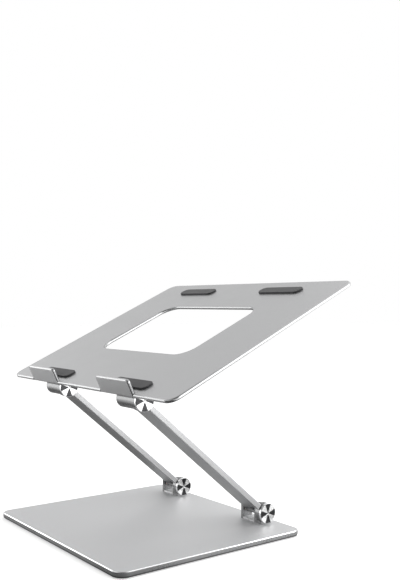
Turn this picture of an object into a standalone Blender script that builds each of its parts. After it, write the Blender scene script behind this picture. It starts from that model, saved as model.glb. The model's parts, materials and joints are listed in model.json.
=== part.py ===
"""Folding two-arm laptop stand in aluminium.

A flat base plate carries two friction hinges near its rear edge. Two flat arms rise from them towards
the front and end in two more friction hinges, which carry a tilting tray with two bent-up front hooks.
All four hinges use the same pin, washers, spring, nut and cap. The upper brackets are closed by a hood.

Units are metres, +Z is up and +Y points to the rear. The origin is on the desk, at the centre of the
stand's footprint box. Every hinge is modelled once about its own axis, which runs along X.
"""
import math

import bmesh
import bpy
from mathutils import Matrix, Vector

# Overall
GAP = 0.0003                    # play kept between pieces that touch
ARM_SPACING = 0.130             # between the centre lines of the two arms
ARM_RISE = math.radians(40.0)   # arms above the desk at rest
TRAY_TILT = math.radians(25.0)  # tray above the desk at rest

# Base plate and feet
BASE_WIDTH = 0.220
BASE_DEPTH = 0.190
BASE_CORNER = 0.010
BASE_BOTTOM = 0.0009
BASE_THICKNESS = 0.0047
BASE_CHAMFER = 0.0008
HINGE_INSET = 0.014             # hinge axis in front of the base's rear edge
FOOT_LENGTH = 0.044
FOOT_WIDTH = 0.012
FOOT_CORNER = 0.0055
FOOT_HEIGHT = 0.0013
FOOT_INSET = 0.030              # foot centre line inside the base's front and rear edges

# Hinge bracket, measured along X from the arm's centre line and radially from the hinge axis
AXIS_HEIGHT = 0.010             # hinge axis above its mounting face
POST_HALF_DEPTH = 0.0055
POST_RADIUS = 0.0080            # round top of the ear and the boss, about the hinge axis
EAR_OUTER = -0.0168
EAR_INNER = -0.0134
BOSS_INNER = 0.002
BARREL_START = 0.0068           # the boss widens to a round barrel from here
BOSS_OUTER = 0.0126
BARREL_RADIUS = 0.0088
BRIDGE_THICKNESS = 0.0018       # strip under the arm's knuckle that joins the ear and the boss
HOOD_BORE = 0.0039              # an upper bracket's slot is closed round the knuckle by a hood
HOOD_BACK = 0.003               # the hood's flat inner back, behind the hinge axis
HOOD_END = math.radians(135.0)  # from the arm's side of the slot round to the hood
SLOT_REACH = 0.020              # the slot cutters reach past the bracket
SPRING_BORE = 0.0063
SPRING_FLOOR = 0.0068           # bottom of the bore that holds the spring washer and nut

# Hinge hardware
PIN_RADIUS = 0.0018
PIN_HOLE = PIN_RADIUS + GAP
PIN_HEAD_RADIUS = 0.0040
PIN_HEAD_HEIGHT = 0.0013
PIN_END = 0.0116
FRICTION_WASHER_RADIUS = 0.0034
FRICTION_WASHER_THICKNESS = 0.0006
SPRING_RADIUS = 0.0056
SPRING_THICKNESS = 0.0008
SPRING_CONE = 0.0005
NUT_ACROSS_FLATS = 0.007
NUT_HEIGHT = 0.0025
NUT_SIDES = 6
CAP_RADIUS = 0.009
CAP_THICKNESS = 0.0021
CAP_CHAMFER = 0.0003
CAP_SPIGOT_DEPTH = 0.0009

# Arms
ARM_LENGTH = 0.174              # between hinge axes
ARM_WIDTH = 0.026
ARM_THICKNESS = 0.0048
KNUCKLE_RADIUS = 0.0034
BAR_START = 0.0098              # the full-width bar starts this far from each axis

# Tray
TRAY_WIDTH = 0.280
TRAY_DEPTH = 0.220
TRAY_THICKNESS = 0.0032
TRAY_CORNER = 0.010
TRAY_FRONT = -0.0122            # front edge, in front of the upper hinge axis
VENT_WIDTH = 0.144
VENT_FRONT = 0.055
VENT_REAR = 0.150
VENT_CORNER = 0.016
HOOK_WIDTH = 0.051
HOOK_TOP = 0.026                # hook's top edge above the hinge axis, square to the tray
HOOK_CORNER = 0.0032
HOOK_OFFSET = -0.003            # hook centres beside the arms' centre lines
BEND_INNER = 0.0006
BEND_OUTER = 0.0016
RELIEF_WIDTH = 0.0008           # saw cut beside each hook, which lets it bend
RELIEF_DEPTH = 0.0008
HOOK_PAD_WIDTH = 0.044
HOOK_PAD_THICKNESS = 0.0012
HOOK_PAD_BOTTOM = 0.0156
HOOK_PAD_TOP = 0.0245
PAD_LENGTH = 0.056
PAD_WIDTH = 0.012
PAD_CORNER = 0.0055
PAD_THICKNESS = 0.0014
PAD_FRONT = 0.002               # pad centres behind the upper hinge axis
PAD_REAR = 0.186

# Countersunk screws that hold the brackets
SCREW_RADIUS = 0.0015
SCREW_HEAD_RADIUS = 0.0029
SCREW_HEAD_HEIGHT = 0.0016
SCREW_TIP_RADIUS = 0.0009
SCREW_BITE = 0.0016             # thread in the bracket
SCREW_OFFSETS = {"inner": -0.0058, "outer": 0.0073}

# Round shapes
ROUND_STEPS = 20
CORNER_STEPS = 5
SMALL_STEPS = 12
BEND_STEPS = 4

# Places worked out from the sizes above
BASE_TOP = BASE_BOTTOM + BASE_THICKNESS
LOWER_Z = BASE_TOP + AXIS_HEIGHT
TRAY_UNDER = AXIS_HEIGHT
TRAY_TOP = TRAY_UNDER + TRAY_THICKNESS
TRAY_REAR = TRAY_FRONT + TRAY_DEPTH
LOWER_FROM_BASE = BASE_DEPTH / 2 - HINGE_INSET
UPPER_FROM_BASE = LOWER_FROM_BASE - ARM_LENGTH * math.cos(ARM_RISE)
TRAY_REACH = UPPER_FROM_BASE + TRAY_REAR * math.cos(TRAY_TILT) - TRAY_UNDER * math.sin(TRAY_TILT)
BASE_CENTRE_Y = (BASE_DEPTH / 2 - TRAY_REACH) / 2
LOWER_Y = BASE_CENTRE_Y + LOWER_FROM_BASE
UPPER_Y = BASE_CENTRE_Y + UPPER_FROM_BASE
UPPER_Z = LOWER_Z + ARM_LENGTH * math.sin(ARM_RISE)
SIDES = {"left": -ARM_SPACING / 2, "right": ARM_SPACING / 2}
CAP_START = BOSS_OUTER + GAP
CAP_END = CAP_START + CAP_THICKNESS
HOOKS = {side: centre + HOOK_OFFSET for side, centre in SIDES.items()}


def clear_scene():
    """Remove every object that the new file starts with."""
    for item in list(bpy.data.objects):
        bpy.data.objects.remove(item, do_unlink=True)


def material(name, colour, roughness, metallic):
    """A plain Principled material."""
    made = bpy.data.materials.new(name)
    made.use_nodes = True
    shader = made.node_tree.nodes["Principled BSDF"]
    shader.inputs["Base Color"].default_value = (*colour, 1.0)
    shader.inputs["Roughness"].default_value = roughness
    shader.inputs["Metallic"].default_value = metallic
    made.diffuse_color = (*colour, 1.0)
    return made


def arc(centre, radius, start, end, steps):
    """Points on an arc about centre, both ends included, with angles in radians."""
    points = []
    for step in range(steps + 1):
        angle = start + (end - start) * step / steps
        points.append((centre[0] + radius * math.cos(angle), centre[1] + radius * math.sin(angle)))
    return points


def rounded_rectangle(half_length, half_width, radius):
    """Anticlockwise outline of a rectangle with round corners, about the origin."""
    points = []
    corners = ((1, 1, 0.0), (-1, 1, 0.5), (-1, -1, 1.0), (1, -1, 1.5))
    for sign_x, sign_y, turn in corners:
        centre = (sign_x * (half_length - radius), sign_y * (half_width - radius))
        points += arc(centre, radius, turn * math.pi, (turn + 0.5) * math.pi, CORNER_STEPS)
    return points


def loft(rings, closed=False):
    """A solid through rings of equal point count; a closed loft joins the last ring to the first."""
    build = bmesh.new()
    loops = [[build.verts.new(point) for point in ring] for ring in rings]
    pairs = list(zip(loops, loops[1:]))
    if closed:
        pairs.append((loops[-1], loops[0]))
    for low, high in pairs:
        for index, _ in enumerate(low):
            after = (index + 1) % len(low)
            build.faces.new((low[index], low[after], high[after], high[index]))
    if not closed:
        build.faces.new(list(reversed(loops[0])))
        build.faces.new(loops[-1])
    bmesh.ops.recalc_face_normals(build, faces=build.faces)
    mesh = bpy.data.meshes.new("solid")
    build.to_mesh(mesh)
    build.free()
    return mesh


def plate(outline, low_z, high_z):
    """A flat piece along Z with straight sides."""
    return loft([[(x, y, z) for x, y in outline] for z in (low_z, high_z)])


def rounded_plate(length, width, radius, levels):
    """A round-cornered flat piece along Z; levels holds (inset, z) pairs, for chamfered edges."""
    rings = []
    for inset, z in levels:
        outline = rounded_rectangle(length / 2 - inset, width / 2 - inset, radius - inset)
        rings.append([(x, y, z) for x, y in outline])
    return loft(rings)


def extrusion(outline, low_x, high_x):
    """A side-view outline of (y, z) points, drawn out along X."""
    return loft([[(x, y, z) for y, z in outline] for x in (low_x, high_x)])


def turned(profile, steps=ROUND_STEPS, hollow=False):
    """A piece turned about X from (x, radius) points; a hollow profile is a closed loop off the axis."""
    rings = []
    for x, radius in profile:
        rings.append([(x, y, z) for y, z in arc((0, 0), radius, 0, math.tau, steps)[:-1]])
    return loft(rings, closed=hollow)


def ring_profile(low_x, high_x, inner, outer):
    """Closed rectangular profile of a washer or a sleeve."""
    return [(low_x, inner), (low_x, outer), (high_x, outer), (high_x, inner)]


def upright(mesh):
    """The same turned mesh, with its axis along Z instead of X."""
    mesh.transform(Matrix.Rotation(-math.pi / 2, 4, "Y"))
    return mesh


def moved(mesh, offset):
    """The same mesh, moved by offset."""
    mesh.transform(Matrix.Translation(offset))
    return mesh


def combine(mesh, others, operation):
    """mesh joined with, or cut by, each of the other meshes in turn."""
    body = bpy.data.objects.new("body", mesh)
    bpy.context.collection.objects.link(body)
    tools = []
    for other in others:
        tool = bpy.data.objects.new("tool", other)
        tool.hide_render = True
        tool.display_type = "WIRE"
        bpy.context.collection.objects.link(tool)
        tools.append(tool)
        step = body.modifiers.new("combine", "BOOLEAN")
        step.operation = operation
        step.solver = "EXACT"
        step.object = tool
    bpy.context.view_layer.update()
    result = bpy.data.meshes.new_from_object(body.evaluated_get(bpy.context.evaluated_depsgraph_get()))
    for item in [body, *tools]:
        bpy.data.objects.remove(item, do_unlink=True)
    return result


def piece(name, mesh, finish, location=(0, 0, 0), parent=None, flipped=False):
    """Place a mesh as one named sub-part, smooth shaded except at its sharp edges."""
    made = bpy.data.objects.new(name, mesh)
    bpy.context.collection.objects.link(made)
    if not mesh.materials:
        mesh.materials.append(finish)
        mesh.shade_smooth()
        mesh.set_sharp_from_angle(angle=math.radians(30))
    made.location = location
    made.parent = parent
    if flipped:
        made.rotation_euler = (math.pi, 0, 0)
    return made


def axis_empty(name, location, turn):
    """An empty on a hinge axis, turned about X, which carries the pieces that swing there."""
    made = bpy.data.objects.new(name, None)
    bpy.context.collection.objects.link(made)
    made.location = location
    made.rotation_euler = (turn, 0, 0)
    return made


# Screws and their holes

def screw_mesh(plate_thickness):
    """Countersunk screw along +Z, with its flat head at z = 0."""
    length = plate_thickness + SCREW_BITE
    shank_end = length - SCREW_RADIUS + SCREW_TIP_RADIUS
    profile = [(0, SCREW_HEAD_RADIUS), (SCREW_HEAD_HEIGHT, SCREW_RADIUS), (shank_end, SCREW_RADIUS),
               (length, SCREW_TIP_RADIUS)]
    return upright(turned(profile, SMALL_STEPS))


def countersunk_hole(x, y, plate_thickness):
    """Cutter for a screw through a plate, along +Z, with the head's end at z = 0."""
    over = SCREW_HEAD_HEIGHT
    wide = SCREW_HEAD_RADIUS + GAP
    narrow = SCREW_RADIUS + GAP
    profile = [(-over, wide), (0, wide), (SCREW_HEAD_HEIGHT, narrow), (plate_thickness + over, narrow)]
    return moved(upright(turned(profile, SMALL_STEPS)), (x, y, 0))


# Base

def base_mesh():
    """Plate with chamfered edges, four foot pockets beneath and countersunk holes for the brackets."""
    levels = [(BASE_CHAMFER, BASE_BOTTOM), (0, BASE_BOTTOM + BASE_CHAMFER),
              (0, BASE_TOP - BASE_CHAMFER), (BASE_CHAMFER, BASE_TOP)]
    cutters = []
    for x, y in foot_places():
        pocket = rounded_plate(FOOT_LENGTH, FOOT_WIDTH, FOOT_CORNER, [(-GAP, 0), (-GAP, FOOT_HEIGHT + GAP)])
        cutters.append(moved(pocket, (x, y, 0)))
    for side in SIDES.values():
        for offset in SCREW_OFFSETS.values():
            hole = countersunk_hole(side + offset, LOWER_FROM_BASE, BASE_THICKNESS)
            cutters.append(moved(hole, (0, 0, BASE_BOTTOM)))
    return combine(rounded_plate(BASE_WIDTH, BASE_DEPTH, BASE_CORNER, levels), cutters, "DIFFERENCE")


def foot_places():
    """Centres of the four feet, from the base's centre."""
    x = BASE_WIDTH / 2 - BASE_CORNER - FOOT_LENGTH / 2
    y = BASE_DEPTH / 2 - FOOT_INSET
    return [(-x, -y), (x, -y), (-x, y), (x, y)]


def build_base(finishes):
    """Base plate with its four feet."""
    centre = Vector((0, BASE_CENTRE_Y, 0))
    piece("base_plate", base_mesh(), finishes["aluminium"], centre)
    shape = rounded_plate(FOOT_LENGTH, FOOT_WIDTH, FOOT_CORNER, [(GAP, 0), (0, GAP), (0, FOOT_HEIGHT)])
    names = ("front_left", "front_right", "rear_left", "rear_right")
    for name, (x, y) in zip(names, foot_places()):
        piece(f"base_foot_{name}", shape, finishes["rubber"], centre + Vector((x, y, 0)))


# Hinge

def bracket_outline():
    """Side view of the ear and the boss: flat in front, round behind and above, mounting face down."""
    meet = math.acos(POST_HALF_DEPTH / POST_RADIUS)
    crown = arc((0, 0), POST_RADIUS, -meet, math.pi - meet, ROUND_STEPS // 2)
    return crown + [(-POST_HALF_DEPTH, -AXIS_HEIGHT), (POST_HALF_DEPTH, -AXIS_HEIGHT)]


def open_slot():
    """Side view of a lower bracket's slot, open in front, behind and above."""
    bridge = BRIDGE_THICKNESS - AXIS_HEIGHT
    return [(SLOT_REACH, bridge), (SLOT_REACH, SLOT_REACH), (-SLOT_REACH, SLOT_REACH), (-SLOT_REACH, bridge)]


def hooded_slot():
    """Side view of an upper bracket's slot, open only towards the arm and its sweep."""
    bridge = BRIDGE_THICKNESS - AXIS_HEIGHT
    seat_start = -math.acos(HOOD_BACK / HOOD_BORE)
    seat = arc((0, 0), HOOD_BORE, seat_start, math.pi - HOOD_END, ROUND_STEPS // 2)
    sweep = arc((0, 0), SLOT_REACH, math.pi - HOOD_END, math.pi, CORNER_STEPS)
    return [(HOOD_BACK, bridge)] + seat + sweep + [(-SLOT_REACH, bridge)]


def bracket_mesh(slot_outline):
    """Ear and boss with its barrel, a thin bridge between them, and all of the bracket's holes."""
    block = extrusion(bracket_outline(), EAR_OUTER, BOSS_OUTER)
    barrel = turned([(BARREL_START, BARREL_RADIUS), (BOSS_OUTER, BARREL_RADIUS)])
    slot = extrusion(slot_outline, EAR_INNER, BOSS_INNER)
    pin_hole = turned([(EAR_OUTER * 2, PIN_HOLE), (BOSS_OUTER * 2, PIN_HOLE)])
    spring_bore = turned([(SPRING_FLOOR, SPRING_BORE), (BOSS_OUTER * 2, SPRING_BORE)])
    cutters = [slot, pin_hole, spring_bore]
    depth = BRIDGE_THICKNESS + GAP
    for offset in SCREW_OFFSETS.values():
        hole = upright(turned([(-depth, SCREW_RADIUS + GAP), (depth, SCREW_RADIUS + GAP)], SMALL_STEPS))
        cutters.append(moved(hole, (offset, 0, -AXIS_HEIGHT)))
    return combine(combine(block, [barrel], "UNION"), cutters, "DIFFERENCE")


def nut_mesh(low_x):
    """Hexagonal nut with a plain bore."""
    corner = NUT_ACROSS_FLATS / math.sqrt(3)
    bore = turned([(low_x - NUT_HEIGHT, PIN_HOLE), (low_x + 2 * NUT_HEIGHT, PIN_HOLE)], SMALL_STEPS)
    blank = turned([(low_x, corner), (low_x + NUT_HEIGHT, corner)], NUT_SIDES)
    return combine(blank, [bore], "DIFFERENCE")


def hinge_meshes(slot_outline):
    """The pieces of one hinge about its own axis, with the bracket's mounting face down."""
    spring_start = SPRING_FLOOR + GAP
    spring_end = spring_start + SPRING_CONE + SPRING_THICKNESS
    washer_left = EAR_INNER + GAP
    washer_right = BOSS_INNER - GAP - FRICTION_WASHER_THICKNESS
    head_start = EAR_OUTER - GAP - PIN_HEAD_HEIGHT
    head_end = EAR_OUTER - GAP
    pin = [(head_start, PIN_HEAD_RADIUS - GAP), (head_start + GAP, PIN_HEAD_RADIUS),
           (head_end, PIN_HEAD_RADIUS), (head_end, PIN_RADIUS), (PIN_END - GAP, PIN_RADIUS),
           (PIN_END, PIN_RADIUS - GAP)]
    spring = [(spring_start, PIN_HOLE), (spring_start, PIN_HOLE + SPRING_CONE),
              (spring_end - SPRING_THICKNESS, SPRING_RADIUS), (spring_end, SPRING_RADIUS),
              (spring_end, SPRING_RADIUS - SPRING_CONE), (spring_start + SPRING_THICKNESS, PIN_HOLE)]
    cap = [(CAP_START - CAP_SPIGOT_DEPTH, SPRING_BORE - GAP), (CAP_START, SPRING_BORE - GAP),
           (CAP_START, CAP_RADIUS), (CAP_END - CAP_CHAMFER, CAP_RADIUS),
           (CAP_END, CAP_RADIUS - CAP_CHAMFER)]
    washers = [ring_profile(x, x + FRICTION_WASHER_THICKNESS, PIN_HOLE, FRICTION_WASHER_RADIUS)
               for x in (washer_left, washer_right)]
    return {
        "bracket": (bracket_mesh(slot_outline), "aluminium"),
        "pin": (turned(pin), "steel"),
        "ear_washer": (turned(washers[0], hollow=True), "nylon"),
        "boss_washer": (turned(washers[1], hollow=True), "nylon"),
        "spring_washer": (turned(spring, hollow=True), "steel"),
        "lock_nut": (nut_mesh(spring_end + GAP), "steel"),
        "cap": (turned(cap), "polished"),
    }


def place_hinge(meshes, finishes, level, side, location, parent=None):
    """One hinge; the upper ones are turned over, so that they hang from the tray."""
    for part_name, (mesh, finish) in meshes.items():
        piece(f"{level}_{part_name}_{side}", mesh, finishes[finish], location, parent, level == "upper")


def place_screws(finishes, level, side, plate_thickness, location, parent=None):
    """The two screws of one bracket, through the plate and into the mounting face."""
    shape = screw_mesh(plate_thickness)
    for name, offset in SCREW_OFFSETS.items():
        place = Vector(location) + Vector((offset, 0, 0))
        piece(f"{level}_screw_{name}_{side}", shape, finishes["steel"], place, parent, level == "upper")


# Arms

def arm_mesh():
    """Flat bar from the lower axis towards -Y, with a narrower round knuckle at each end."""
    half = ARM_THICKNESS / 2
    bar = extrusion([(-BAR_START, half), (-ARM_LENGTH + BAR_START, half),
                     (-ARM_LENGTH + BAR_START, -half), (-BAR_START, -half)],
                    -ARM_WIDTH / 2, ARM_WIDTH / 2)
    meet = math.asin(half / KNUCKLE_RADIUS)
    near = arc((0, 0), KNUCKLE_RADIUS, -math.pi + meet, math.pi - meet, ROUND_STEPS)
    far = arc((-ARM_LENGTH, 0), KNUCKLE_RADIUS, meet, math.tau - meet, ROUND_STEPS)
    washer_space = FRICTION_WASHER_THICKNESS + 2 * GAP
    tongue = extrusion(near + far, EAR_INNER + washer_space, BOSS_INNER - washer_space)
    arm = combine(bar, [tongue], "UNION")
    bores = [moved(turned([(-ARM_WIDTH, PIN_HOLE), (ARM_WIDTH, PIN_HOLE)]), (0, y, 0))
             for y in (0, -ARM_LENGTH)]
    return combine(arm, bores, "DIFFERENCE")


# Tray

def tray_outline():
    """Flat part of the tray, with a relief cut on each side of both hooks."""
    half = TRAY_WIDTH / 2
    bend_line = TRAY_FRONT + TRAY_THICKNESS + BEND_INNER
    cut_end = bend_line + RELIEF_DEPTH
    front = TRAY_FRONT
    left = (-half + TRAY_CORNER, front + TRAY_CORNER)
    right = (half - TRAY_CORNER, front + TRAY_CORNER)
    points = arc(left, TRAY_CORNER, math.pi, 1.5 * math.pi, CORNER_STEPS)
    for centre in HOOKS.values():
        low = centre - HOOK_WIDTH / 2
        high = centre + HOOK_WIDTH / 2
        points += [(low - RELIEF_WIDTH, front), (low - RELIEF_WIDTH, cut_end), (low, cut_end),
                   (low, bend_line), (high, bend_line), (high, cut_end),
                   (high + RELIEF_WIDTH, cut_end), (high + RELIEF_WIDTH, front)]
    points += arc(right, TRAY_CORNER, 1.5 * math.pi, 2 * math.pi, CORNER_STEPS)
    points += arc((right[0], TRAY_REAR - TRAY_CORNER), TRAY_CORNER, 0, math.pi / 2, CORNER_STEPS)
    points += arc((left[0], TRAY_REAR - TRAY_CORNER), TRAY_CORNER, math.pi / 2, math.pi, CORNER_STEPS)
    return points


def hook_sections():
    """Stations up one hook, each (inner y, inner z, outer y, outer z, half width)."""
    half = HOOK_WIDTH / 2
    inner_centre = (TRAY_FRONT + TRAY_THICKNESS + BEND_INNER, TRAY_TOP + BEND_INNER)
    outer_centre = (TRAY_FRONT + BEND_OUTER, TRAY_UNDER + BEND_OUTER)
    inner_bend = arc(inner_centre, BEND_INNER, 1.5 * math.pi, math.pi, BEND_STEPS)
    outer_bend = arc(outer_centre, BEND_OUTER, 1.5 * math.pi, math.pi, BEND_STEPS)
    sections = [(*inner, *outer, half) for inner, outer in zip(inner_bend[1:], outer_bend[1:])]
    for width, z in arc((half - HOOK_CORNER, HOOK_TOP - HOOK_CORNER), HOOK_CORNER, 0, math.pi / 2,
                        CORNER_STEPS):
        sections.append((TRAY_FRONT + TRAY_THICKNESS, z, TRAY_FRONT, z, width))
    return sections


def bend_hook(build, centre):
    """Extrude the tray's edge at one hook round the bend and up to the hook's round-cornered top."""
    bend_line = TRAY_FRONT + TRAY_THICKNESS + BEND_INNER
    target = Vector((centre, bend_line, TRAY_UNDER + TRAY_THICKNESS / 2))
    face = min(build.faces, key=lambda item: (item.calc_center_median() - target).length)
    for inner_y, inner_z, outer_y, outer_z, half in hook_sections():
        face = bmesh.ops.extrude_discrete_faces(build, faces=[face])["faces"][0]
        corners = sorted(face.verts, key=lambda vert: vert.co.y + vert.co.z, reverse=True)
        for corner, (y, z) in zip(corners, 2 * [(inner_y, inner_z)] + 2 * [(outer_y, outer_z)]):
            corner.co = (centre + math.copysign(half, corner.co.x - centre), y, z)


def tray_mesh():
    """Bent sheet about the upper axis: flat plate, two hooks, a vent opening and the screw holes."""
    mesh = plate(tray_outline(), TRAY_UNDER, TRAY_TOP)
    build = bmesh.new()
    build.from_mesh(mesh)
    for centre in HOOKS.values():
        bend_hook(build, centre)
    bmesh.ops.recalc_face_normals(build, faces=build.faces)
    build.to_mesh(mesh)
    build.free()
    vent = rounded_plate(VENT_WIDTH, VENT_REAR - VENT_FRONT, VENT_CORNER, [(0, 0), (0, TRAY_TOP * 2)])
    cutters = [moved(vent, (0, (VENT_FRONT + VENT_REAR) / 2, 0))]
    for side in SIDES.values():
        for offset in SCREW_OFFSETS.values():
            hole = countersunk_hole(0, 0, TRAY_THICKNESS)
            hole.transform(Matrix.Rotation(math.pi, 4, "X"))
            cutters.append(moved(hole, (side + offset, 0, TRAY_TOP)))
    return combine(mesh, cutters, "DIFFERENCE")


def build_pads(finishes, tray_axis):
    """Silicone pads that the laptop lies on, and one behind each hook."""
    shape = rounded_plate(PAD_LENGTH, PAD_WIDTH, PAD_CORNER,
                          [(0, 0), (0, PAD_THICKNESS - GAP), (GAP, PAD_THICKNESS)])
    hook_shape = rounded_plate(HOOK_PAD_WIDTH, HOOK_PAD_TOP - HOOK_PAD_BOTTOM, HOOK_CORNER / 2,
                               [(0, 0), (0, HOOK_PAD_THICKNESS)])
    hook_shape.transform(Matrix.Rotation(-math.pi / 2, 4, "X"))
    hook_face = TRAY_FRONT + TRAY_THICKNESS + GAP
    for side, centre in HOOKS.items():
        for row, y in (("front", PAD_FRONT), ("rear", PAD_REAR)):
            place = (SIDES[side], y, TRAY_TOP + GAP)
            piece(f"tray_pad_{row}_{side}", shape, finishes["rubber"], place, tray_axis)
        middle = (centre, hook_face, (HOOK_PAD_BOTTOM + HOOK_PAD_TOP) / 2)
        piece(f"hook_pad_{side}", hook_shape, finishes["rubber"], middle, tray_axis)


def main():
    """Build the whole stand."""
    clear_scene()
    finishes = {
        "aluminium": material("aluminium", (0.62, 0.62, 0.63), 0.38, 1.0),
        "polished": material("polished_aluminium", (0.80, 0.80, 0.81), 0.15, 1.0),
        "steel": material("steel", (0.55, 0.55, 0.56), 0.30, 1.0),
        "nylon": material("nylon", (0.75, 0.75, 0.72), 0.55, 0.0),
        "rubber": material("rubber", (0.05, 0.05, 0.055), 0.80, 0.0),
    }
    tray_axis = axis_empty("tray_axis", (0, UPPER_Y, UPPER_Z), TRAY_TILT)
    arm_axis = axis_empty("arm_axis", (0, LOWER_Y, LOWER_Z), -ARM_RISE)
    build_base(finishes)
    lower_hinge = hinge_meshes(open_slot())
    upper_hinge = hinge_meshes(hooded_slot())
    arm = arm_mesh()
    for side, x in SIDES.items():
        place_hinge(lower_hinge, finishes, "lower", side, (x, LOWER_Y, LOWER_Z))
        place_hinge(upper_hinge, finishes, "upper", side, (x, 0, 0), tray_axis)
        place_screws(finishes, "lower", side, BASE_THICKNESS, (x, LOWER_Y, BASE_BOTTOM))
        place_screws(finishes, "upper", side, TRAY_THICKNESS, (x, 0, TRAY_TOP), tray_axis)
        piece(f"arm_{side}", arm, finishes["aluminium"], (x, 0, 0), arm_axis)
    piece("tray_plate", tray_mesh(), finishes["aluminium"], parent=tray_axis)
    build_pads(finishes, tray_axis)


main()
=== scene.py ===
"""Looks of a folding two-arm laptop stand in silver anodised aluminium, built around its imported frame.

Every CAD node is replaced by a finer mesh in the same place, with machined chamfers, round bends and
procedural materials. Lengths are in metres; MM keeps the small ones readable.
"""
import json
import math

import bmesh
import bpy
from mathutils import Matrix, Vector


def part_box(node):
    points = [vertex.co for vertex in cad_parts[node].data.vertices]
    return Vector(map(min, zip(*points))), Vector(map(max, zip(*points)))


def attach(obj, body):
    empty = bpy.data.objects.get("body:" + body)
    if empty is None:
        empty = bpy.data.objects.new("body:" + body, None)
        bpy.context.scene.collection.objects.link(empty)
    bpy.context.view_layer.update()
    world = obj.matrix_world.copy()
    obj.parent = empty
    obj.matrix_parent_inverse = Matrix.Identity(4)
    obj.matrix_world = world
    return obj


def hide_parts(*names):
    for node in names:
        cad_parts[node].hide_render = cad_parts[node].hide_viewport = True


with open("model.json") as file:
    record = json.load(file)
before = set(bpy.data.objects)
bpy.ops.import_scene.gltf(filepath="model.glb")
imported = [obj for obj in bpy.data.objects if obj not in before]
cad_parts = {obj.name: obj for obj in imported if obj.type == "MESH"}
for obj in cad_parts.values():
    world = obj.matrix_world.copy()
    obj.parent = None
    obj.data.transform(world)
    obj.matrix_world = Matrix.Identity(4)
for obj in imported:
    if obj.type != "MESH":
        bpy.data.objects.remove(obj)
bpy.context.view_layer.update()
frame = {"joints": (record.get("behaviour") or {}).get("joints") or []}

MM = 0.001
GLUE = 0.05 * MM  # keeps two faces out of one plane, and is the tolerance when edges are chosen by place
TOUCH = GLUE / 10  # corners nearer than this to a cutting plane lie on it

# Fineness of round shapes
CORNER_STEPS = 16
ROUND_STEPS = 72
SMALL_STEPS = 40
BEND_STEPS = 10
EDGE_STEPS = 4
SHARP = math.radians(28)

# Finish of each face, as its place in the piece's list of materials: any piece's, then the base's own ones
# and the one of a bracket's bridge
BODY, EDGE = 0, 1
# WALL and UNDERCUT take retuned copies of the base's anodising that paint in the wall's shade and a darker
# painted shade along the bottom edge
WALL, UNDERCUT = 2, 3
# A bracket's bridge takes the plate's lighter anodising instead of the bracket's darker painted shade
BRIDGE = 2

# Base plate and feet
BASE_CORNER = 10 * MM
BASE_CHAMFER = 0.55 * MM
BASE_UNDERCUT = 1.2 * MM
FOOT_CORNER = 5.5 * MM
FOOT_EDGE = 0.3 * MM
FOOT_GROOVES = 3
FOOT_GROOVE_WIDTH = 1.0 * MM
FOOT_GROOVE_DEPTH = 0.25 * MM
GROOVE_CORNER = 0.45 * MM
POCKET_PLAY = 0.3 * MM

# Hinge, along X from the arm's centre line and radially from the hinge axis
AXIS_HEIGHT = 10 * MM
POST_HALF_DEPTH = 5.5 * MM
POST_RADIUS = 8.0 * MM
EAR_INNER = -13.4 * MM
BOSS_INNER = 2.0 * MM
BARREL_START = 6.8 * MM
BARREL_RADIUS = 8.8 * MM
BRACKET_CHAMFER = 0.35 * MM
BRIDGE_THICKNESS = 1.8 * MM
BRIDGE_TOP = BRIDGE_THICKNESS - AXIS_HEIGHT
HOOD_BORE = 3.9 * MM
HOOD_BACK = 3.0 * MM
HOOD_END = math.radians(135)
SLOT_REACH = 20 * MM
SLOT_CHAMFER = 0.2 * MM
SPRING_BORE = 6.3 * MM
SPRING_FLOOR = 6.8 * MM
SPRING_SHEET = 0.6  # share of the spring washer's height
PIN_RADIUS = 1.8 * MM
PIN_HOLE = 2.1 * MM
PIN_HEAD_RADIUS = 4.0 * MM
PIN_HEAD_EDGE = 0.35 * MM
PIN_SOCKET = 2.5 * MM
PIN_SOCKET_DEPTH = 0.8 * MM
WASHER_EDGE = 0.1 * MM
NUT_SIDES = 6
NUT_EDGE = 0.2 * MM
CAP_CHAMFER = 0.35 * MM
CAP_RIM = 0.55 * MM
CAP_GROOVE_WIDTH = 0.16 * MM
CAP_GROOVE_DEPTH = 0.07 * MM
CAP_DIMPLE_RADIUS = 0.6 * MM
CAP_DIMPLE_DEPTH = 0.2 * MM
CAP_DIMPLE_POINT = 0.09 * MM
CAP_FLANGE = 2.1 * MM
CAP_FACE_RINGS = (3.6 * MM, 1.8 * MM)

# Arms
KNUCKLE_RADIUS = 3.4 * MM
KNUCKLE_PLAY = 1.2 * MM
BAR_START = 9.8 * MM
ARM_HALF_THICKNESS = 2.4 * MM
ARM_CHAMFER = 0.55 * MM

# Tray, in its own directions: along the tray from the upper axis, and square to it
TRAY_TILT_AT_REST = math.radians(25)
TRAY_THICKNESS = 3.2 * MM
TRAY_TOP = AXIS_HEIGHT + TRAY_THICKNESS
TRAY_CORNER = 10 * MM
TRAY_FRONT = -12.2 * MM
TRAY_DEPTH = 220 * MM
TRAY_REAR = TRAY_FRONT + TRAY_DEPTH
TRAY_ROUNDING = 1.3 * MM
TRAY_ROUNDING_STEPS = 5
VENT_WIDTH = 144 * MM
VENT_FRONT = 55 * MM
VENT_REAR = 150 * MM
VENT_CORNER = 16 * MM
HOOK_WIDTH = 51 * MM
HOOK_TOP = 26 * MM
HOOK_CORNER = 3.2 * MM
HOOK_OFFSET = -3 * MM
BEND_INNER = 0.6 * MM
BEND_OUTER = 1.6 * MM
RELIEF_WIDTH = 0.5 * MM
RELIEF_DEPTH = 1.6 * MM
HOOK_INNER = TRAY_FRONT + TRAY_THICKNESS
BEND_LINE = HOOK_INNER + BEND_INNER
RELIEF_END = BEND_LINE + RELIEF_DEPTH
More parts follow.
